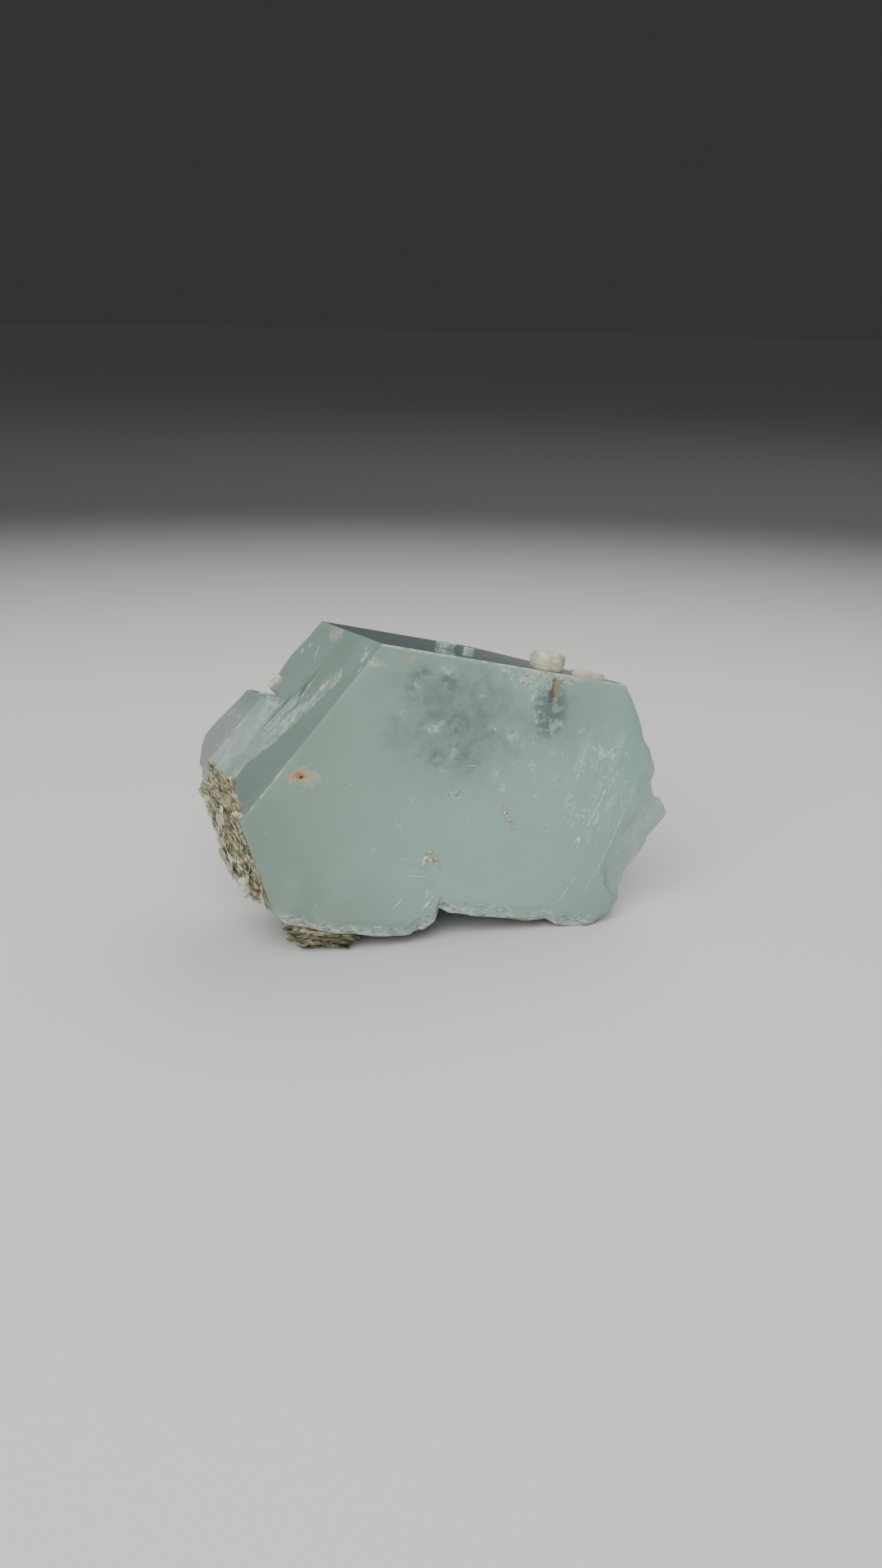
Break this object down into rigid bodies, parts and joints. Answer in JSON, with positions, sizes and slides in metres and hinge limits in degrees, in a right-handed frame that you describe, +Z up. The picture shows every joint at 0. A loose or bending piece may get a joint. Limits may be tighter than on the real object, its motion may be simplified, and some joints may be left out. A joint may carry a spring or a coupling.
{
  "type": "aquamarine crystal",
  "caption": "Stubby hexagonal aquamarine crystal lying on its side, broken at right and below, with foliated mica and small albite grown on it.",
  "frame": {"origin": "centre of the bounding box at its lowest level, which the object rests on", "axes": "+Z up as the crystal rests; the large basal face looks toward -Y and slightly up; +X right along the face"},
  "size_m": [0.0606, 0.0294, 0.0387],
  "materials": {
    "aquamarine": "milky, etched satin with glossy prism faces",
    "muscovite": "silvery green-gold, foliated, glinting",
    "albite": "cream, chalky",
    "albite_skin": "pale pinkish, dull"
  },
  "bodies": {
    "root": {"aquamarine_crystal": "aquamarine", "mica_side_crust": "muscovite", "mica_base_crust": "muscovite", "albite_knob": "albite", "albite_ledge": "albite", "albite_fleck_large": "albite", "albite_fleck_small": "albite", "albite_blade": "albite", "albite_grain": "albite", "albite_notch_skin": "albite_skin", "albite_base_skin": "albite_skin"}
  },
  "joints": []
}
